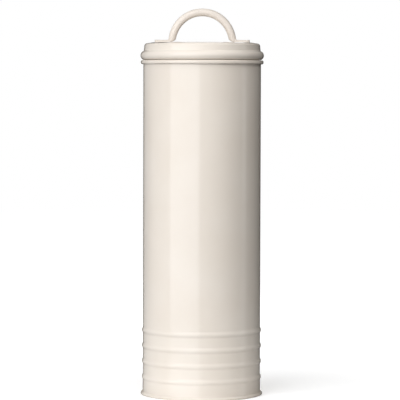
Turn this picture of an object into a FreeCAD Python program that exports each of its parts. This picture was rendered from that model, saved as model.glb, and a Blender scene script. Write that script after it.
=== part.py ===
"""Tall round food canister of coated sheet steel with a lift-off plug lid.

The frame has its origin at the centre of the base, on the surface the canister stands on, with +Z up.
The lid's strap handle runs along X. All sizes are in millimetres.
"""

import FreeCAD, Part
import math
import os
from FreeCAD import Vector

# Overall sizes
body_diameter = 100.0
body_height = 284.7
lid_rise = 14.8
handle_rise = 28.8
arch_radius = 28.8

# Sheet steel and the play between formed layers
sheet = 0.5
seam_play = 0.05
lid_seat_gap = 0.3

# Curled rim at the mouth
curl_height = 3.3
curl_reach = 2.65
curl_bend = 1.3

# Stiffening ribs rolled outwards near the foot of the wall
rib_count = 4
lowest_rib_height = 15.25
rib_pitch = 13.3
rib_half_width = 3.1
rib_height = 0.87
rib_crest_bend = 1.0
rib_blend_bend = 2.4

# Welded side seam down the back of the wall
weld_width = 3.0
weld_proud = 0.15
weld_end_margin = 4.0

# Foot of the wall, swelled a little below the ribs and flared out for the seam
foot_swell = 0.2
flare_angle = 53.0
flare_height = 2.55
flare_length = 2.0
flare_bend = 1.2

# Base, whose edge is folded up over the wall's flare into a seam that the canister stands on
fold_tip_room = 0.1
fold_bend = 0.35
fold_length = 1.7
chuck_inset = 1.1
chuck_foot_bend = 0.8
panel_height = 4.0
panel_bend = 1.0
panel_border = 16.4
panel_step_rise = 0.8
panel_step_run = 2.0
panel_step_bend = 1.2

# Lid, one drawn and beaded cap whose skirt plugs into the mouth
lid_crown_width = 8.0
lid_crown_bend = 12.0
lid_shoulder_drop = 1.1
lid_shoulder_inset = 1.0
lid_shoulder_bend = 2.1
lid_wall_inset = 0.35
lid_bead_top = 7.15
lid_bead_overhang = 2.45
lid_bead_slope = 1.46
lid_bead_bend = 3.65
lid_bead_undercut = 1.8
lid_crease_bend = 0.6
lid_ledge_inside = 0.1
lid_ledge_overlap = 0.1
skirt_depth = 13.0
skirt_bend = 0.8
skirt_clearance = 1.5
skirt_lip = 0.9

# Ring seal stretched over the skirt
seal_height = 9.0
seal_wall = 0.6
seal_skirt_play = 0.3
seal_lip_gap = 0.3
seal_mouth_gap = 0.2
seal_fin_count = 3
seal_fin_thickness = 0.8
seal_fin_root = 1.6
seal_chamfer = 0.7

# Strap handle, a strip whose long edges are rolled under and open out flat at the feet
strap_sheet = 2.2
strap_half_width = 6.7
strap_roll_inside = 1.0
foot_roll_inside = 0.05
foot_end_margin = 1.6
foot_bend = 1.5
foot_corner = 4.0
arch_end_angle = 32.0
meet_roll = 158.0
foot_roll = 90.0
roll_easing = 2.5
opened_share = 0.92
foot_sections = 10
spot_weld_diameter = 4.0
spot_weld_depth = 0.25
spot_weld_half_spacing = 3.0

# Levels and radii that follow from the sizes above
body_radius = body_diameter / 2
mouth_radius = body_radius - sheet
rim_top = body_height
lid_ledge = rim_top + lid_seat_gap
lid_top = lid_ledge + lid_rise
lid_flat_radius = body_radius - lid_crown_width
lid_bead_radius = body_radius + lid_bead_overhang
strap_half_length = lid_flat_radius - foot_end_margin
skirt_radius = mouth_radius - skirt_clearance
skirt_bottom = lid_ledge - skirt_depth
rib_heights = [lowest_rib_height + rib_pitch * n for n in reversed(range(rib_count))]

# Seam of base and wall: the wall's flare, and the base's fold that lies on it
foot_radius = mouth_radius + foot_swell
flare_out = math.cos(math.radians(flare_angle))
flare_down = math.sin(math.radians(flare_angle))
flare_tip = (foot_radius + flare_out * flare_length, flare_height - flare_down * flare_length)
fold_radius = flare_tip[0] + sheet * flare_down + fold_tip_room
fold_offset = sheet + seam_play
fold_run = (fold_radius - foot_radius - fold_offset * flare_down) / flare_out
fold_corner_height = flare_height + fold_offset * flare_out - fold_run * flare_down
chuck_radius = mouth_radius - chuck_inset
panel_step_radius = chuck_radius - panel_border

Z_AXIS = Vector(0, 0, 1)
Y_AXIS = Vector(0, 1, 0)
ORIGIN = Vector(0, 0, 0)
SAME_POINT = 1e-6


def left_of(direction):
    """The direction to the left of travel in the XZ plane, with X to the right and Z up."""
    return Vector(-direction.z, 0, direction.x)


def bent_path(corners, shift):
    """Lines and arcs through corners (x, z, bend radius), moved to the left of travel by shift."""
    points = [Vector(x, 0, z) for x, z, bend in corners]
    steps = [(b - a).normalize() for a, b in zip(points, points[1:])]
    edges = []
    here = points[0] + left_of(steps[0]) * shift
    for corner, before, after, (x, z, bend) in zip(points[1:], steps, steps[1:], corners[1:]):
        turn = math.atan2(before.x * after.z - before.z * after.x, before.dot(after))
        side = math.copysign(1, turn)
        reach = bend * math.tan(abs(turn) / 2)
        centre = corner - before * reach + left_of(before) * (bend * side)
        enter = corner - before * reach + left_of(before) * shift
        leave = corner + after * reach + left_of(after) * shift
        middle = centre + (corner - centre).normalize() * (bend - shift * side)
        if here.distanceToPoint(enter) > SAME_POINT:
            edges.append(Part.LineSegment(here, enter).toShape())
        edges.append(Part.Arc(enter, middle, leave).toShape())
        here = leave
    end = points[-1] + left_of(steps[-1]) * shift
    edges.append(Part.LineSegment(here, end).toShape())
    return edges


def sheet_section(corners, skin, other_skin):
    """The cross-section of a bent sheet whose two skins lie at these shifts from the path."""
    near = bent_path(corners, skin)
    far = bent_path(corners, other_skin)
    start_cap = Part.LineSegment(near[0].firstVertex().Point, far[0].firstVertex().Point).toShape()
    end_cap = Part.LineSegment(near[-1].lastVertex().Point, far[-1].lastVertex().Point).toShape()
    return Part.Face(Part.Wire(Part.sortEdges(near + far + [start_cap, end_cap])[0]))


def turned(section, degrees=360):
    """The section revolved about the canister's axis."""
    return section.revolve(ORIGIN, Z_AXIS, degrees)


def rib_corners(radius):
    """Corners of the ribs along a wall skin of this radius, from the top rib down."""
    corners = []
    for height in rib_heights:
        corners.append((radius, height + rib_half_width, rib_blend_bend))
        corners.append((radius + rib_height, height, rib_crest_bend))
        swell = foot_swell if height == lowest_rib_height else 0
        corners.append((radius + swell, height - rib_half_width, rib_blend_bend))
    return corners


def make_body_wall():
    """Rolled wall: outward curl at the mouth, ribs near the foot, and the flare that the base's seam grips."""
    curl = [
        (mouth_radius + curl_reach - curl_bend, rim_top - curl_height, 0),
        (mouth_radius + curl_reach, rim_top - curl_height, curl_bend),
        (mouth_radius + curl_reach, rim_top, curl_bend),
        (mouth_radius, rim_top, curl_bend),
    ]
    flare = [(foot_radius, flare_height, flare_bend), (*flare_tip, 0)]
    wall = turned(sheet_section(curl + rib_corners(mouth_radius) + flare, 0, sheet))
    return wall.fuse(make_side_weld()).removeSplitter()


def make_side_weld():
    """Low flat bead of the welded side seam, which follows the wall and its ribs down the back."""
    top = (mouth_radius, rim_top - curl_height - weld_end_margin, 0)
    bottom = (foot_radius, flare_height + weld_end_margin, 0)
    corners = [top] + rib_corners(mouth_radius) + [bottom]
    width_angle = math.degrees(weld_width / body_radius)
    strip = turned(sheet_section(corners, sheet / 2, sheet + weld_proud), width_angle)
    strip.rotate(ORIGIN, Z_AXIS, 90 - width_angle / 2)
    return strip


def make_base_end():
    """Base pressing: stepped panel, the ring it stands on, and the edge folded up over the wall's flare."""
    corners = [
        (0, panel_height + panel_step_rise, 0),
        (panel_step_radius, panel_height + panel_step_rise, panel_step_bend),
        (panel_step_radius + panel_step_run, panel_height, panel_step_bend),
        (chuck_radius, panel_height, panel_bend),
        (chuck_radius, sheet, chuck_foot_bend),
        (fold_radius, sheet, fold_bend),
        (fold_radius, fold_corner_height, fold_bend),
        (fold_radius - flare_out * fold_length, fold_corner_height + flare_down * fold_length, 0),
    ]
    return turned(sheet_section(corners, 0, -sheet))


def make_lid_cap():
    """Drawn cap: crowned top, wall, overhanging bead, ledge above the rim, skirt and its turned-out lip."""
    shoulder = body_radius - lid_shoulder_inset
    wall_foot = body_radius - lid_wall_inset
    bead_top = lid_top - lid_bead_top
    corners = [
        (0, lid_top, 0),
        (lid_flat_radius, lid_top, lid_crown_bend),
        (shoulder, lid_top - lid_shoulder_drop, lid_shoulder_bend),
        (wall_foot, bead_top, lid_crease_bend),
        (lid_bead_radius, bead_top - lid_bead_slope, lid_bead_bend),
        (lid_bead_radius, lid_ledge + lid_bead_undercut, lid_bead_bend),
        (body_radius + lid_ledge_overlap, lid_ledge, sheet + lid_ledge_inside),
        (skirt_radius, lid_ledge, skirt_bend),
        (skirt_radius, skirt_bottom, skirt_bend),
        (skirt_radius + skirt_lip, skirt_bottom, 0),
    ]
    return turned(sheet_section(corners, 0, -sheet))


def make_lid_seal():
    """Ring seal with fins that wipe the mouth, held on the skirt between the ledge and the lip."""
    inner = skirt_radius + seal_skirt_play
    back = inner + seal_wall
    tip = mouth_radius - seal_mouth_gap
    bottom = skirt_bottom + seal_lip_gap
    outline = [(back, bottom), (inner + seal_chamfer / 2, bottom), (inner, bottom + seal_chamfer)]
    outline.append((inner, bottom + seal_height))
    outline.append((back, bottom + seal_height))
    fin_pitch = seal_height / seal_fin_count
    for n in reversed(range(seal_fin_count)):
        middle = bottom + fin_pitch * (n + 0.5)
        outline.append((back, middle + seal_fin_root / 2))
        outline.append((tip, middle + seal_fin_thickness / 2))
        outline.append((tip, middle - seal_fin_thickness / 2))
        outline.append((back, middle - seal_fin_root / 2))
    points = [Vector(x, 0, z) for x, z in outline]
    return turned(Part.Face(Part.makePolygon(points + points[:1])))


def strap_section(crest, outward, roll_degrees, roll_inside):
    """Closed outline of the strap square to its run, each long edge rolled under by an angle round an inside radius."""
    roll = math.radians(roll_degrees)
    roll_outside = roll_inside + strap_sheet
    half_flat = strap_half_width - roll_outside

    def skin(depth, share):
        """A point of the rolled edge on the skin at this depth, a share of the way round the roll."""
        radius = roll_outside - depth
        return half_flat + radius * math.sin(roll * share), radius * math.cos(roll * share) - roll_outside

    def place(across, up, mirror):
        return crest + Y_AXIS * (across * mirror) + outward * up

    edges = []
    for depth in (0, strap_sheet):
        flat_ends = [place(half_flat, -depth, mirror) for mirror in (1, -1)]
        edges.append(Part.LineSegment(*flat_ends).toShape())
        for mirror in (1, -1):
            stops = [place(*skin(depth, share / 4), mirror) for share in range(5)]
            edges += [Part.Arc(*stops[n:n + 3]).toShape() for n in (0, 2)]
    for mirror in (1, -1):
        lips = [place(*skin(depth, 1), mirror) for depth in (0, strap_sheet)]
        edges.append(Part.LineSegment(*lips).toShape())
    return Part.Wire(Part.sortEdges(edges)[0])


def make_lid_handle():
    """Strap handle: an arch with rolled-under edges, which die away round the bend into each welded foot."""
    arch_centre = Vector(0, 0, lid_top + handle_rise - arch_radius)
    foot_depth = strap_sheet + foot_roll_inside
    bend_height = foot_depth + foot_bend
    bend_rise = lid_top + bend_height - arch_centre.z
    meet_angle = math.degrees(math.asin(bend_rise / (arch_radius + foot_bend)))
    bend_x = (arch_radius + foot_bend) * math.cos(math.radians(meet_angle))
    bend_centre = Vector(bend_x, 0, lid_top + bend_height)
    flat_angle = meet_angle + (90 - meet_angle) * opened_share

    def facing(degrees):
        return Vector(math.cos(math.radians(degrees)), 0, math.sin(math.radians(degrees)))

    def on_arch(degrees):
        """The section at this angle on the arch, its roll easing from a full half turn down to the bend."""
        share = (degrees - meet_angle) / (arch_end_angle - meet_angle)
        roll = meet_roll + (180 - meet_roll) * (1 - math.cos(share * math.pi)) / 2
        return strap_section(arch_centre + facing(degrees) * arch_radius, facing(degrees), roll, strap_roll_inside)

    def in_bend(share):
        """The section a share of the way through the part of the foot's bend where the roll dies away."""
        degrees = meet_angle + (flat_angle - meet_angle) * share
        roll = foot_roll + (meet_roll - foot_roll) * (1 - share) ** roll_easing
        inside = foot_roll_inside + (strap_roll_inside - foot_roll_inside) * (1 - share) ** 2
        return strap_section(bend_centre - facing(degrees) * foot_bend, facing(degrees), roll, inside)

    foot_start = strap_section(bend_centre - Z_AXIS * foot_bend, Z_AXIS, foot_roll, foot_roll_inside)
    flat_bend = Part.Face(foot_start).revolve(bend_centre, Y_AXIS, 90 - flat_angle)
    arch_start = on_arch(arch_end_angle)
    arch = Part.Face(arch_start).revolve(arch_centre, Y_AXIS, -(180 - 2 * arch_end_angle))
    shares = [n / foot_sections for n in range(1, foot_sections)]
    leg = [on_arch(arch_end_angle + (meet_angle - arch_end_angle) * share) for share in shares]
    bend = [in_bend(share) for share in [*shares, 1]]
    opening_out = Part.makeLoft([arch_start, *leg, on_arch(meet_angle), *bend], True, False, False, 3)
    foot_length = strap_half_length - bend_x
    foot = Part.Face(foot_start).extrude(Vector(foot_length, 0, 0))
    trim = Part.makeBox(2 * foot_length, 2 * strap_half_width, foot_depth, Vector(bend_x - foot_length, -strap_half_width, lid_top))
    upright = [edge for edge in trim.Edges if abs(edge.Vertexes[0].Z - edge.Vertexes[1].Z) > SAME_POINT]
    end_corners = [edge for edge in upright if edge.CenterOfMass.x > bend_x]
    foot = foot.common(trim.makeFillet(min(foot_corner, foot_length / 2), end_corners))
    side = opening_out.fuse([flat_bend, foot.cut(spot_weld_dents(bend_x))])
    other_side = side.mirror(ORIGIN, Vector(1, 0, 0))
    return arch.fuse([side, other_side]).removeSplitter()


def spot_weld_dents(bend_x):
    """Shallow round dents that the welding tips leave in the top of a foot."""
    half = spot_weld_diameter / 2
    ball = (half**2 + spot_weld_depth**2) / (2 * spot_weld_depth)
    middle_x = (bend_x + strap_half_length) / 2
    level = lid_top + strap_sheet + foot_roll_inside - spot_weld_depth + ball
    dents = []
    for side in (1, -1):
        dents.append(Part.makeSphere(ball, Vector(middle_x, side * spot_weld_half_spacing, level)))
    return Part.makeCompound(dents)


pieces = {
    "body_wall": make_body_wall,
    "base_end": make_base_end,
    "lid_cap": make_lid_cap,
    "lid_seal": make_lid_seal,
    "lid_handle": make_lid_handle,
}

os.makedirs("parts", exist_ok=True)
for name, make in pieces.items():
    shape = make()
    solids = shape.Solids
    print(name, "solids", len(solids), "valid", shape.isValid(), "volume", round(shape.Volume, 1))
    Part.makeCompound(solids).exportStep(f"parts/{name}.step")
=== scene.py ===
import math

import bmesh
import bpy
from mathutils import Matrix, Vector


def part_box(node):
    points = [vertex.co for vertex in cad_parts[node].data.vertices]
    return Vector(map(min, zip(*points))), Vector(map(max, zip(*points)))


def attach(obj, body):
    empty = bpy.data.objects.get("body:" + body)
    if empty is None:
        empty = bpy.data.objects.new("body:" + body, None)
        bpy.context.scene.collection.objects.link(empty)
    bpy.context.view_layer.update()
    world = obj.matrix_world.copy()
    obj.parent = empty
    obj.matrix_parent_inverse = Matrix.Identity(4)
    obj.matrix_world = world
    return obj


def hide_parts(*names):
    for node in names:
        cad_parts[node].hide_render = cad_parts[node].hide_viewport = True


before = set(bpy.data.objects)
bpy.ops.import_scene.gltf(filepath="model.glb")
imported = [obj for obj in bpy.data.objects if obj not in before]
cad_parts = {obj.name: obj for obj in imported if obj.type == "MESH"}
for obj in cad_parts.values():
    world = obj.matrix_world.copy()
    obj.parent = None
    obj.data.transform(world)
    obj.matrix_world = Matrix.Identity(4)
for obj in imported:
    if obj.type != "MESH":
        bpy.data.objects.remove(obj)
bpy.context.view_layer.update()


# Body wall: one strip of steel sheet rolled into a tube and welded down the back. Four ribs are rolled
# outwards near the foot, the mouth is curled over to the outside, and the foot flares out into the seam
# that holds the base. It is dipped in cream enamel after forming.
sheet = 0.0005
wall_radius = 0.050
mouth_radius = wall_radius - sheet
rim_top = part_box("body_wall")[1].z
curl_reach = 0.00265
curl_height = 0.0033
curl_bend = 0.0013
rib_heights = (0.05515, 0.04185, 0.02855, 0.01525)
rib_half_width = 0.00221
rib_rise = 0.001175
rib_crest_bend = 0.0026
rib_blend_bend = 0.0036
foot_ease = 0.0002
foot_radius = mouth_radius + foot_ease
flare_angle = math.radians(53)
flare_height = 0.00255
flare_length = 0.0020
flare_bend = 0.0012
weld_half_width = 0.0016
weld_proud = 0.00015
weld_margin = 0.0045
turn_steps = 256
merge_distance = 1e-6
bend_step = math.radians(10)
fewest_bend_steps = 3
cut_edge_round = 0.00012
cut_edge_angle = math.radians(40)
thin_coat_bend = 0.0009


def bent_strip(bm, corners):
    """A sheet seen edge on: the line of one face, through corners of radius, height and bend.

    The sheet lies to the left of the line. Bends to the left are marked, because the coat thins there.
    """
    thinning = bm.verts.layers.float.new("thin_coat")
    points = [bm.verts.new((radius, 0, height)) for radius, height, bend in corners]
    for near, far in zip(points, points[1:]):
        bm.edges.new((near, far))
    bends = []
    for before, point, after, (_, _, bend) in zip(points, points[1:], points[2:], corners[1:]):
        arriving = point.co - before.co
        leaving = after.co - point.co
        turn = arriving.angle(leaving)
        leftward = 1 if arriving.x * leaving.z > arriving.z * leaving.x else -1
        bends.append((point, bend, turn, leftward))
    for point, bend, turn, leftward in bends:
        earlier = set(bm.verts)
        bmesh.ops.bevel(
            bm,
            geom=[point],
            offset=bend * math.tan(turn / 2),
            offset_type="OFFSET",
            segments=max(fewest_bend_steps, round(turn / bend_step)),
            profile=0.5,
            affect="VERTICES",
            material=-1,
        )
        for vert in set(bm.verts) - earlier:
            vert[thinning] = leftward * min(1, thin_coat_bend / bend)


def spin_round(bm):
    """Spins a line once round the upright axis, into a skin that meets itself."""
    bmesh.ops.spin(
        bm,
        geom=bm.verts[:] + bm.edges[:],
        cent=(0, 0, 0),
        axis=(0, 0, 1),
        dvec=(0, 0, 0),
        angle=math.tau,
        steps=turn_steps,
        use_merge=True,
    )
    bmesh.ops.remove_doubles(bm, verts=bm.verts, dist=merge_distance)
    bmesh.ops.recalc_face_normals(bm, faces=bm.faces)


def placed_object(name, bm):
    """The object of a finished mesh, in the scene."""
    mesh = bpy.data.meshes.new(name)
    bm.to_mesh(mesh)
    bm.free()
    placed = bpy.data.objects.new(name, mesh)
    bpy.context.scene.collection.objects.link(placed)
    return placed


def ease_edges(piece, name, width, least_angle):
    """Rounds the edges that turn by more than an angle, and shades the runs between them smooth."""
    piece.data.shade_smooth()
    edges = piece.modifiers.new(name, "BEVEL")
    edges.width = width
    edges.segments = 2
    edges.limit_method = "ANGLE"
    edges.angle_limit = least_angle
    shading = piece.modifiers.new("Flat runs stay flat", "WEIGHTED_NORMAL")
    shading.weight = 100


def sheet_object(name, bm, thickness, edge_round):
    """An object of a single skin, thickened behind its faces, its cut edges rounded."""
    piece = placed_object(name, bm)
    wall = piece.modifiers.new("Thickness", "SOLIDIFY")
    wall.thickness = thickness
    wall.offset = -1
    wall.use_even_offset = True
    wall.use_quality_normals = True
    ease_edges(piece, "Cut edges", edge_round, cut_edge_angle)
    return piece


def spun_sheet(name, corners):
    """A sheet piece of the canister, spun from its bent strip, its faces turned to the right of the line."""
    bm = bmesh.new()
    bent_strip(bm, corners)
    spin_round(bm)
    start, end = [Vector((radius, 0, height)) for radius, height, bend in corners[:2]]
    run = end - start
    right_side = Vector((run.z, 0, -run.x))
    first_face = min(bm.faces, key=lambda face: (face.calc_center_median() - start - run / 4).length)
    if first_face.normal.dot(right_side) < 0:
        bmesh.ops.reverse_faces(bm, faces=bm.faces)
    return sheet_object(name, bm, sheet, cut_edge_round)


flare_out = math.cos(flare_angle)
flare_down = math.sin(flare_angle)
wall_corners = [
    (mouth_radius + curl_reach - curl_bend, rim_top - curl_height, 0),
    (mouth_radius + curl_reach, rim_top - curl_height, curl_bend),
    (mouth_radius + curl_reach, rim_top, curl_bend),
    (mouth_radius, rim_top, curl_bend),
]
for height in rib_heights:
    below = foot_radius if height == rib_heights[-1] else mouth_radius
    wall_corners.append((mouth_radius, height + rib_half_width, rib_blend_bend))
    wall_corners.append((mouth_radius + rib_rise, height, rib_crest_bend))
    wall_corners.append((below, height - rib_half_width, rib_blend_bend))
wall_corners.append((foot_radius, flare_height, flare_bend))
wall_corners.append((foot_radius + flare_out * flare_length, flare_height - flare_down * flare_length, 0))
body_wall = spun_sheet("body_wall_steel", wall_corners)
for vert in body_wall.data.vertices:
    in_weld = vert.co.y > 0 and weld_margin < vert.co.z < rim_top - curl_height - weld_margin
    if in_weld and abs(vert.co.x) < weld_half_width:
        vert.co.y += weld_proud * math.cos(vert.co.x / weld_half_width * math.pi / 2) ** 2

cream = (0.785, 0.721, 0.645, 1)
cream_deep = (0.761, 0.691, 0.610, 1)
cream_thin = (0.68, 0.60, 0.51, 1)


def wire(tree, source, target):
    """Joins an output to an input."""
    tree.links.new(source, target)


def enamel_group():
    """Dipped enamel: it clouds a little, thins on the bends that are marked, and has a faint peel."""
    group = bpy.data.node_groups.new("Dipped enamel", "ShaderNodeTree")
    sockets = group.interface
    for name in ("Coat", "Clouded", "Thin"):
        sockets.new_socket(name, in_out="INPUT", socket_type="NodeSocketColor")
    for name in ("Smoothest", "Roughest"):
        sockets.new_socket(name, in_out="INPUT", socket_type="NodeSocketFloat")
    sockets.new_socket("Color", in_out="OUTPUT", socket_type="NodeSocketColor")
    for name in ("Roughness", "Height"):
        sockets.new_socket(name, in_out="OUTPUT", socket_type="NodeSocketFloat")
    nodes = group.nodes
    given = nodes.new("NodeGroupInput")
    result = nodes.new("NodeGroupOutput")
    place = nodes.new("ShaderNodeTexCoord")

    def noise(scale, detail):
        """A noise that runs through the whole object."""
        node = nodes.new("ShaderNodeTexNoise")
        node.inputs["Scale"].default_value = scale
        node.inputs["Detail"].default_value = detail
        wire(group, place.outputs["Object"], node.inputs["Vector"])
        return node.outputs["Fac"]

    def spread(value, low, high, to_low, to_high):
        """A value, moved from one range to another."""
        node = nodes.new("ShaderNodeMapRange")
        wire(group, value, node.inputs["Value"])
        for name, number in zip(("From Min", "From Max", "To Min", "To Max"), (low, high, to_low, to_high)):
            node.inputs[name].default_value = number
        return node.outputs["Result"]

    def blend(share, below, above):
        """A share of the colour above, over the colour below."""
        node = nodes.new("ShaderNodeMix")
        node.data_type = "RGBA"
        wire(group, share, node.inputs["Factor"])
        wire(group, below, node.inputs["A"])
        wire(group, above, node.inputs["B"])
        return node.outputs["Result"]

    clouds = spread(noise(scale=26, detail=3), low=0.35, high=0.7, to_low=0, to_high=1)
    tone = blend(clouds, given.outputs["Coat"], given.outputs["Clouded"])
    bends = nodes.new("ShaderNodeAttribute")
    bends.attribute_name = "thin_coat"
    thin = spread(bends.outputs["Fac"], low=0.1, high=1, to_low=0, to_high=0.4)
    wire(group, blend(thin, tone, given.outputs["Thin"]), result.inputs["Color"])
    gloss = nodes.new("ShaderNodeMapRange")
    gloss.inputs["From Min"].default_value = 0.3
    gloss.inputs["From Max"].default_value = 0.7
    wire(group, noise(scale=60, detail=2), gloss.inputs["Value"])
    wire(group, given.outputs["Smoothest"], gloss.inputs["To Min"])
    wire(group, given.outputs["Roughest"], gloss.inputs["To Max"])
    wire(group, gloss.outputs["Result"], result.inputs["Roughness"])
    peel = spread(noise(scale=800, detail=1), low=0, high=1, to_low=0, to_high=0.04)
    waves = spread(noise(scale=34, detail=1), low=0, high=1, to_low=0, to_high=2)
    relief = nodes.new("ShaderNodeMath")
    relief.operation = "ADD"
    wire(group, peel, relief.inputs[0])
    wire(group, waves, relief.inputs[1])
    wire(group, relief.outputs["Value"], result.inputs["Height"])
    return group


def enamel_material(name, group, tones, smoothest, roughest):
    """Enamel on steel, with its own tones and gloss."""
    material = bpy.data.materials.new(name)
    material.use_nodes = True
    tree = material.node_tree
    shader = tree.nodes["Principled BSDF"]
    shader.inputs["IOR"].default_value = 1.5
    coat = tree.nodes.new("ShaderNodeGroup")
    coat.node_tree = group
    for tone, colour in zip(("Coat", "Clouded", "Thin"), tones):
        coat.inputs[tone].default_value = colour
    coat.inputs["Smoothest"].default_value = smoothest
    coat.inputs["Roughest"].default_value = roughest
    relief = tree.nodes.new("ShaderNodeBump")
    relief.inputs["Strength"].default_value = 1
    relief.inputs["Distance"].default_value = 0.00003
    wire(tree, coat.outputs["Color"], shader.inputs["Base Color"])
    wire(tree, coat.outputs["Roughness"], shader.inputs["Roughness"])
    wire(tree, coat.outputs["Height"], relief.inputs["Height"])
    wire(tree, relief.outputs["Normal"], shader.inputs["Normal"])
    return material


dipped_enamel = enamel_group()
cream_tones = (cream, cream_deep, cream_thin)
cream_enamel = enamel_material("cream_enamel", dipped_enamel, cream_tones, smoothest=0.07, roughest=0.11)
body_wall.data.materials.append(cream_enamel)
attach(body_wall, "canister")
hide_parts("body_wall")


# Base: a round steel pressing with a raised panel in the middle. Its edge is folded up over the wall's
# flare into a seam, and the canister stands on the flat ring under that seam. It has the wall's enamel.
panel_underside = 0.0035
panel_raise = 0.0008
panel_step_start = 0.032
panel_step_run = 0.002
panel_step_bend = 0.0012
chuck_radius = 0.0479
chuck_bend = 0.0005
chuck_foot_bend = 0.0013
seam_play = 0.00005
fold_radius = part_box("base_end")[1].x
fold_bend = 0.00085
fold_length = 0.0017
fold_offset = 2 * sheet + seam_play
fold_run = (fold_radius - foot_radius - fold_offset * flare_down) / flare_out
fold_height = flare_height + fold_offset * flare_out - fold_run * flare_down

base_end = spun_sheet("base_end_steel", [
    (0, panel_underside + panel_raise, 0),
    (panel_step_start, panel_underside + panel_raise, panel_step_bend),
    (panel_step_start + panel_step_run, panel_underside, panel_step_bend),
    (chuck_radius, panel_underside, chuck_bend),
    (chuck_radius, 0, chuck_foot_bend),
    (fold_radius, 0, fold_bend),
    (fold_radius, fold_height, fold_bend),
    (fold_radius - flare_out * fold_length, fold_height + flare_down * fold_length, 0),
])
base_end.data.materials.append(cream_enamel)
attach(base_end, "canister")
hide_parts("base_end")


# Lid cap: one steel pressing with a crowned top, a low wall, a bead that overhangs the mouth's curl, and
# a skirt that plugs into the mouth and ends in a turned-out lip. It has the wall's enamel.
lid_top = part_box("lid_handle")[0].z
skirt_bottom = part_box("lid_cap")[0].z
bead_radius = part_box("lid_cap")[1].x
skirt_depth = 0.0135
lid_ledge = skirt_bottom + skirt_depth
crown_radius = 0.042
crown_bend = 0.012
shoulder_radius = 0.049
shoulder_drop = 0.0011
shoulder_bend = 0.0021
wall_foot_radius = 0.04965
bead_drop = 0.00715
bead_slope = 0.00146
bead_bend = 0.00365
bead_undercut = 0.0018
crease_bend = 0.0006
ledge_overlap = 0.0001
ledge_bend = 0.0006
skirt_radius = 0.048
skirt_bend = 0.0008
skirt_lip = 0.0009

lid_cap = spun_sheet("lid_cap_steel", [
    (skirt_radius + skirt_lip, skirt_bottom, 0),
    (skirt_radius, skirt_bottom, skirt_bend),
    (skirt_radius, lid_ledge, skirt_bend),
    (wall_radius + ledge_overlap, lid_ledge, ledge_bend),
    (bead_radius, lid_ledge + bead_undercut, bead_bend),
    (bead_radius, lid_top - bead_drop - bead_slope, bead_bend),
    (wall_foot_radius, lid_top - bead_drop, crease_bend),
    (shoulder_radius, lid_top - shoulder_drop, shoulder_bend),
    (crown_radius, lid_top, crown_bend),
    (0, lid_top, 0),
])
lid_cap.data.materials.append(cream_enamel)
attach(lid_cap, "lid")
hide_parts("lid_cap")


# Lid seal: a moulded ring of whitish silicone, held on the lid's skirt between ledge and lip, with three
# fins that wipe the inside of the mouth.
seal_low, seal_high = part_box("lid_seal")
seal_play = 0.0003
seal_inner = skirt_radius + seal_play
seal_band = 0.0006
seal_back = seal_inner + seal_band
fin_tip = seal_high.x
fin_half_tip = 0.0004
fin_half_root = 0.0008
fin_count = 3
fin_pitch = (seal_high.z - seal_low.z) / fin_count
seal_chamfer = 0.0007
moulded_edge_round = 0.00018
moulded_edge_angle = math.radians(15)
silicone_milky = (0.74, 0.74, 0.71, 1)
silicone_white = (0.84, 0.84, 0.82, 1)

bm = bmesh.new()
outline = [(seal_back, seal_low.z), (seal_inner + seal_chamfer / 2, seal_low.z)]
outline += [(seal_inner, seal_low.z + seal_chamfer), (seal_inner, seal_high.z), (seal_back, seal_high.z)]
for fin in reversed(range(fin_count)):
    middle = seal_low.z + fin_pitch * (fin + 0.5)
    outline += [(seal_back, middle + fin_half_root), (fin_tip, middle + fin_half_tip)]
    outline += [(fin_tip, middle - fin_half_tip), (seal_back, middle - fin_half_root)]
ring = [bm.verts.new((radius, 0, height)) for radius, height in outline]
for near, far in zip(ring, ring[1:] + ring[:1]):
    bm.edges.new((near, far))
spin_round(bm)
lid_seal = placed_object("lid_seal_ring", bm)
ease_edges(lid_seal, "Moulded edges", moulded_edge_round, moulded_edge_angle)

silicone = bpy.data.materials.new("white_silicone")
silicone.use_nodes = True
tree = silicone.node_tree
shader = tree.nodes["Principled BSDF"]
shader.inputs["IOR"].default_value = 1.41
shader.inputs["Subsurface Weight"].default_value = 0.35
shader.inputs["Subsurface Radius"].default_value = (0.0012, 0.0011, 0.0010)
shader.inputs["Subsurface Scale"].default_value = 1
place = tree.nodes.new("ShaderNodeTexCoord")
haze = tree.nodes.new("ShaderNodeTexNoise")
haze.inputs["Scale"].default_value = 120
haze.inputs["Detail"].default_value = 4
wire(tree, place.outputs["Object"], haze.inputs["Vector"])
tint = tree.nodes.new("ShaderNodeValToRGB")
tint.color_ramp.elements[0].position = 0.3
tint.color_ramp.elements[0].color = silicone_milky
tint.color_ramp.elements[1].position = 0.7
tint.color_ramp.elements[1].color = silicone_white
wire(tree, haze.outputs["Fac"], tint.inputs["Fac"])
wire(tree, tint.outputs["Color"], shader.inputs["Base Color"])
satin = tree.nodes.new("ShaderNodeMapRange")
satin.inputs["To Min"].default_value = 0.42
satin.inputs["To Max"].default_value = 0.58
wire(tree, haze.outputs["Fac"], satin.inputs["Value"])
wire(tree, satin.outputs["Result"], shader.inputs["Roughness"])
grain = tree.nodes.new("ShaderNodeTexNoise")
grain.inputs["Scale"].default_value = 3500
wire(tree, place.outputs["Object"], grain.inputs["Vector"])
skin = tree.nodes.new("ShaderNodeBump")
skin.inputs["Strength"].default_value = 0.4
skin.inputs["Distance"].default_value = 0.00001
wire(tree, grain.outputs["Fac"], skin.inputs["Height"])
wire(tree, skin.outputs["Normal"], shader.inputs["Normal"])
lid_seal.data.materials.append(silicone)
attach(lid_seal, "seal")
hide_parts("lid_seal")


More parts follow.
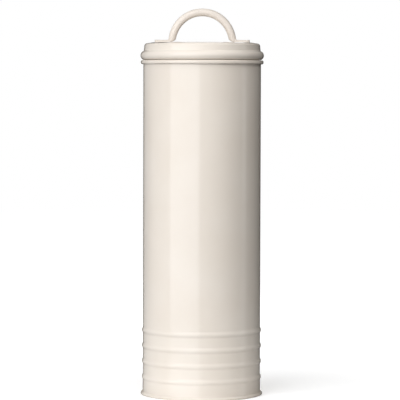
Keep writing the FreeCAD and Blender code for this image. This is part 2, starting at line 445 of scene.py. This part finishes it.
# Lid handle: a steel strap bent into a half-round arch. Its long edges are rolled under along the arch
# and die away round the bend into two flat feet, each spot-welded to the lid. It is dipped with the lid,
# and its enamel is more satin, as on a grip that fingers rub. Its colour is the lid's cream a shade deeper,
# which is painted shade on the handle.
strap_sheet = 0.0022
strap_half_width = 0.0067
arch_roll_inside = 0.0010
foot_roll_inside = 0.00005
foot_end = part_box("lid_handle")[1].x
arch_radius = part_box("lid_handle")[1].z - lid_top
foot_bend = 0.0015
foot_corner = 0.004
arch_end = math.radians(32)
meet_roll = math.radians(158)
foot_roll = math.radians(90)
roll_easing = 2.5
inside_easing = 2
opened_share = 0.92
foot_share = 0.16
bend_share = 0.36
leg_share = 0.60
foot_crowding = 1.5
run_cells = 260
width_cells = 72
weld_dent_radius = 0.002
weld_dent_depth = 0.00025
weld_dent_offset = 0.003
strap_edge_round = 0.00030
# The grip's two tones are the lid's cream tones made a little darker: painted shade on the handle.
grip_cream_painted_shade = (0.745, 0.680, 0.612, 1)
grip_deep_painted_shade = (0.722, 0.652, 0.580, 1)

foot_depth = strap_sheet + foot_roll_inside
bend_rise = foot_depth + foot_bend
bend_start = math.asin(bend_rise / (arch_radius + foot_bend))
bend_x = (arch_radius + foot_bend) * math.cos(bend_start)
foot_length = foot_end - bend_x
weld_x = (bend_x + foot_end) / 2


def strap_station(share):
    """The strap's section, this share of the way from a foot's end to the top of the arch.

    Gives its crest and outward direction, its rolled edges' angle and inside radius, and its half-width.
    """
    half_width = strap_half_width
    if share < foot_share:
        from_end = foot_length * (share / foot_share) ** foot_crowding
        into_corner = max(0, foot_corner - from_end)
        half_width -= foot_corner - math.sqrt(foot_corner**2 - into_corner**2)
        crest = Vector((foot_end - from_end, 0, lid_top + foot_depth))
        return crest, Vector((0, 0, 1)), foot_roll, foot_roll_inside, half_width
    if share < bend_share:
        bent = (bend_share - share) / (bend_share - foot_share)
        angle = bend_start + (math.pi / 2 - bend_start) * bent
        outward = Vector((math.cos(angle), 0, math.sin(angle)))
        centre = Vector((bend_x, 0, lid_top + bend_rise))
        rolled = max(0, 1 - bent / opened_share)
        roll = foot_roll + (meet_roll - foot_roll) * rolled**roll_easing
        inside = foot_roll_inside + (arch_roll_inside - foot_roll_inside) * rolled**inside_easing
        return centre - outward * foot_bend, outward, roll, inside, half_width
    roll = math.pi
    if share < leg_share:
        risen = (share - bend_share) / (leg_share - bend_share)
        angle = bend_start + (arch_end - bend_start) * risen
        roll = meet_roll + (math.pi - meet_roll) * (1 - math.cos(risen * math.pi)) / 2
    else:
        angle = arch_end + (math.pi / 2 - arch_end) * (share - leg_share) / (1 - leg_share)
    outward = Vector((math.cos(angle), 0, math.sin(angle)))
    return Vector((0, 0, lid_top)) + outward * arch_radius, outward, roll, arch_roll_inside, half_width


def strap_point(along, across):
    """A point of the strap's outer skin, for places from -1 to 1 along and across the flat blank."""
    share = 1 - abs(along)
    crest, outward, roll, inside, half_width = strap_station(share)
    radius = inside + strap_sheet
    flat = half_width - radius
    reach = abs(across) * (flat + radius * roll)
    drop = 0
    if reach > flat:
        angle = (reach - flat) / radius
        reach = flat + radius * math.sin(angle)
        drop = radius * (1 - math.cos(angle))
    point = crest - outward * drop
    point.y = math.copysign(reach, across)
    if share < foot_share:
        from_weld = math.hypot(point.x - weld_x, abs(point.y) - weld_dent_offset)
        point.z -= weld_dent_depth * max(0, 1 - (from_weld / weld_dent_radius) ** 2)
    point.x = math.copysign(point.x, along) if along else 0
    return point


bm = bmesh.new()
bmesh.ops.create_grid(bm, x_segments=run_cells, y_segments=width_cells, size=1)
for vert in bm.verts:
    vert.co = strap_point(vert.co.x, vert.co.y)
bmesh.ops.recalc_face_normals(bm, faces=bm.faces)
top_face = max(bm.faces, key=lambda face: face.calc_center_median().z)
if top_face.normal.z < 0:
    bmesh.ops.reverse_faces(bm, faces=bm.faces)
lid_handle = sheet_object("lid_handle_strap", bm, strap_sheet, strap_edge_round)
grip_shaded_tones = (grip_cream_painted_shade, grip_deep_painted_shade, cream_thin)
grip_enamel = enamel_material("grip_enamel", dipped_enamel, grip_shaded_tones, smoothest=0.28, roughest=0.34)
lid_handle.data.materials.append(grip_enamel)
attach(lid_handle, "lid")
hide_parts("lid_handle")


# Studio: a pale floor before a white backdrop, cloth panels overhead with the strongest on the left, and an
# upright softbox whose reflection is the pale band down the wall. Dimmer screens, dark flags and a panel
# at the back go round the rest, and a long lens stands a little below the lid.
scene = bpy.context.scene
scene.view_settings.view_transform = "Standard"
white = (1, 1, 1, 1)


def seen_directly(tree, gloss_share):
    """1 for rays from the camera or sent on by glass, and this share for rays sent on by gloss."""
    path = tree.nodes.new("ShaderNodeLightPath")
    gloss = tree.nodes.new("ShaderNodeMath")
    gloss.operation = "MULTIPLY"
    wire(tree, path.outputs["Is Glossy Ray"], gloss.inputs[0])
    gloss.inputs[1].default_value = gloss_share
    either = tree.nodes.new("ShaderNodeMath")
    either.operation = "MAXIMUM"
    wire(tree, path.outputs["Is Camera Ray"], either.inputs[0])
    wire(tree, path.outputs["Is Transmission Ray"], either.inputs[1])
    any_of = tree.nodes.new("ShaderNodeMath")
    any_of.operation = "MAXIMUM"
    wire(tree, either.outputs["Value"], any_of.inputs[0])
    wire(tree, gloss.outputs["Value"], any_of.inputs[1])
    return any_of.outputs["Value"]


world = bpy.data.worlds.new("Studio")
scene.world = world
world.use_nodes = True
tree = world.node_tree
backdrop = tree.nodes["Background"]
backdrop.inputs["Color"].default_value = white
wire(tree, seen_directly(tree, gloss_share=1), backdrop.inputs["Strength"])

floor_half = 3.0
floor_gap = 0.00005
paper_gloss = 0.5
paper_near = 0.09
paper_far = 0.28
bm = bmesh.new()
bmesh.ops.create_grid(bm, x_segments=1, y_segments=1, size=floor_half)
bmesh.ops.translate(bm, vec=(0, 0, -floor_gap), verts=bm.verts)
floor = placed_object("floor", bm)
paper = bpy.data.materials.new("floor_paper")
paper.use_nodes = True
tree = paper.node_tree
sheen = tree.nodes["Principled BSDF"]
sheen.inputs["Roughness"].default_value = 0.12
sheen.inputs["Emission Color"].default_value = white
path = tree.nodes.new("ShaderNodeLightPath")
mirrored = tree.nodes.new("ShaderNodeMath")
mirrored.operation = "MULTIPLY_ADD"
wire(tree, path.outputs["Is Camera Ray"], mirrored.inputs[0])
mirrored.inputs[1].default_value = -paper_gloss
mirrored.inputs[2].default_value = paper_gloss
wire(tree, mirrored.outputs["Value"], sheen.inputs["Specular IOR Level"])
wire(tree, path.outputs["Is Glossy Ray"], sheen.inputs["Metallic"])
place = tree.nodes.new("ShaderNodeTexCoord")
from_canister = tree.nodes.new("ShaderNodeVectorMath")
from_canister.operation = "LENGTH"
wire(tree, place.outputs["Object"], from_canister.inputs[0])


def along_floor(near_value, far_value):
    """A value that changes as the paper runs away from the canister."""
    node = tree.nodes.new("ShaderNodeMapRange")
    node.inputs["From Min"].default_value = paper_near
    node.inputs["From Max"].default_value = paper_far
    node.inputs["To Min"].default_value = near_value
    node.inputs["To Max"].default_value = far_value
    wire(tree, from_canister.outputs["Value"], node.inputs["Value"])
    return node.outputs["Result"]


wire(tree, along_floor(near_value=0.95, far_value=0.12), sheen.inputs["Base Color"])
lift = tree.nodes.new("ShaderNodeMath")
lift.operation = "MULTIPLY"
wire(tree, seen_directly(tree, gloss_share=0.1), lift.inputs[0])
wire(tree, along_floor(near_value=0.24, far_value=1), lift.inputs[1])
wire(tree, lift.outputs["Value"], sheen.inputs["Emission Strength"])
floor.data.materials.append(paper)

overhead_height = 1.0
overhead_depth = 0.5
key_side = 1.0
front_width = 1.0
top_width = 1.5


def studio_card(name, cloth, width, height, placing):
    """A flat card that the camera doesn't see, made round the origin and then moved to its place."""
    bm = bmesh.new()
    bmesh.ops.create_grid(bm, x_segments=1, y_segments=1, size=0.5)
    bmesh.ops.scale(bm, vec=(width, height, 1), verts=bm.verts)
    bmesh.ops.transform(bm, matrix=placing, verts=bm.verts)
    card = placed_object(name, bm)
    card.data.materials.append(cloth)
    card.visible_camera = False
    card.visible_shadow = False
    return card


def overhead(x, y):
    """The place of a card that lies flat above the canister."""
    return Matrix.Translation((x, y, overhead_height))


def upright(bearing, distance, height):
    """The place of a card that stands on the floor at this bearing from the camera's side."""
    turned = Matrix.Rotation(math.radians(bearing), 4, "Z")
    return turned @ Matrix.Translation((0, -distance, height / 2)) @ Matrix.Rotation(math.pi / 2, 4, "X")


def even_cloth(name, strength):
    """Cloth lit evenly from behind."""
    material = bpy.data.materials.new(name)
    material.use_nodes = True
    tree = material.node_tree
    tree.nodes.remove(tree.nodes["Principled BSDF"])
    lamp = tree.nodes.new("ShaderNodeEmission")
    lamp.inputs["Strength"].default_value = strength
    wire(tree, lamp.outputs["Emission"], tree.nodes["Material Output"].inputs["Surface"])
    return material


def graded_cloth(name, axis, near, near_strength, far, far_strength):
    """Lit cloth whose strength runs from one value to another between two places on an axis."""
    material = even_cloth(name, near_strength)
    tree = material.node_tree
    place = tree.nodes.new("ShaderNodeTexCoord")
    split = tree.nodes.new("ShaderNodeSeparateXYZ")
    fade = tree.nodes.new("ShaderNodeMapRange")
    fade.inputs["From Min"].default_value = near
    fade.inputs["From Max"].default_value = far
    fade.inputs["To Min"].default_value = near_strength
    fade.inputs["To Max"].default_value = far_strength
    wire(tree, place.outputs["Object"], split.inputs["Vector"])
    wire(tree, split.outputs[axis], fade.inputs["Value"])
    wire(tree, fade.outputs["Result"], tree.nodes["Emission"].inputs["Strength"])
    return material


key_cloth = even_cloth("key_cloth", strength=2.9)
studio_card("key_panel", key_cloth, key_side, key_side, overhead(x=-0.75, y=-1.25))
front_cloth = graded_cloth("front_cloth", "X", near=-0.25, near_strength=2.2, far=0.75, far_strength=0.3)
studio_card("front_panel", front_cloth, front_width, overhead_depth, overhead(x=0.25, y=-1.0))
top_cloth = graded_cloth("top_cloth", "X", near=-0.75, near_strength=1.3, far=0.25, far_strength=2.0)
studio_card("top_panel", top_cloth, top_width, overhead_depth, overhead(x=0, y=-0.5))
roof_cloth = graded_cloth("roof_cloth", "X", near=-0.25, near_strength=0.4, far=0.75, far_strength=1.4)
studio_card("roof_panel", roof_cloth, front_width, overhead_depth, overhead(x=0.25, y=0))

tent_distance = 0.75
tent_height = 0.8
softbox_bearing = -34
softbox_width = 0.825
softbox_white = (0.985, 1, 1.03, 1)
left_screen_bearing = -85.5
left_screen_width = 0.62
right_screen_bearing = 39.5
right_screen_width = 1.47
right_screen_height = 0.3
high_screen_height = tent_height - right_screen_height
rear_panel_bearing = 180
rear_panel_width = 0.55
rear_panel_height = 0.45
softbox_cloth = graded_cloth("softbox_cloth", "Z", near=0.25, near_strength=2.5, far=0.4, far_strength=2.04)
softbox_cloth.node_tree.nodes["Emission"].inputs["Color"].default_value = softbox_white
softbox_place = upright(softbox_bearing, tent_distance, tent_height)
studio_card("softbox", softbox_cloth, softbox_width, tent_height, softbox_place)
left_cloth = graded_cloth("left_cloth", "Z", near=0.2, near_strength=0.9, far=0.4, far_strength=0.2)
left_place = upright(left_screen_bearing, tent_distance, tent_height)
studio_card("left_screen", left_cloth, left_screen_width, tent_height, left_place)
right_cloth = graded_cloth("right_cloth", "X", near=0, near_strength=0.6, far=0.7, far_strength=0.1)
right_place = upright(right_screen_bearing, tent_distance, right_screen_height)
studio_card("right_screen", right_cloth, right_screen_width, right_screen_height, right_place)
high_cloth = graded_cloth("high_cloth", "X", near=0, near_strength=1.2, far=0.85, far_strength=0.1)
raised = Matrix.Translation((0, 0, right_screen_height))
high_place = raised @ upright(right_screen_bearing, tent_distance, high_screen_height)
studio_card("high_screen", high_cloth, right_screen_width, high_screen_height, high_place)
rear_cloth = even_cloth("rear_cloth", strength=6.0)
rear_place = upright(rear_panel_bearing, tent_distance, rear_panel_height)
rear_panel = studio_card("rear_panel", rear_cloth, rear_panel_width, rear_panel_height, rear_place)
rear_panel.visible_glossy = False

flag_distance = 0.28
flags = (("left", -126.5, 0.187, 0.55), ("rear", -158.5, 0.134, 0.0), ("right", 131, 0.49, 0.0))
for side, bearing, width, strength in flags:
    flag_cloth = even_cloth("flag_cloth_" + side, strength)
    flag_place = upright(bearing, flag_distance, tent_height)
    flag = studio_card("flag_" + side, flag_cloth, width, tent_height, flag_place)
    flag.visible_diffuse = False

camera_distance = 2.05
camera_height = 0.2645
aim = Vector((-0.00156, 0, 0.1658))
camera_roll = math.radians(0.15)
lens = bpy.data.cameras.new("camera")
lens.sensor_width = 36
lens.lens = 216.6
camera = bpy.data.objects.new("camera", lens)
scene.collection.objects.link(camera)
camera.location = (aim.x, -camera_distance, camera_height)
facing = (aim - camera.location).to_track_quat("-Z", "Y").to_matrix().to_4x4()
camera.rotation_euler = (facing @ Matrix.Rotation(camera_roll, 4, "Z")).to_euler()
scene.camera = camera
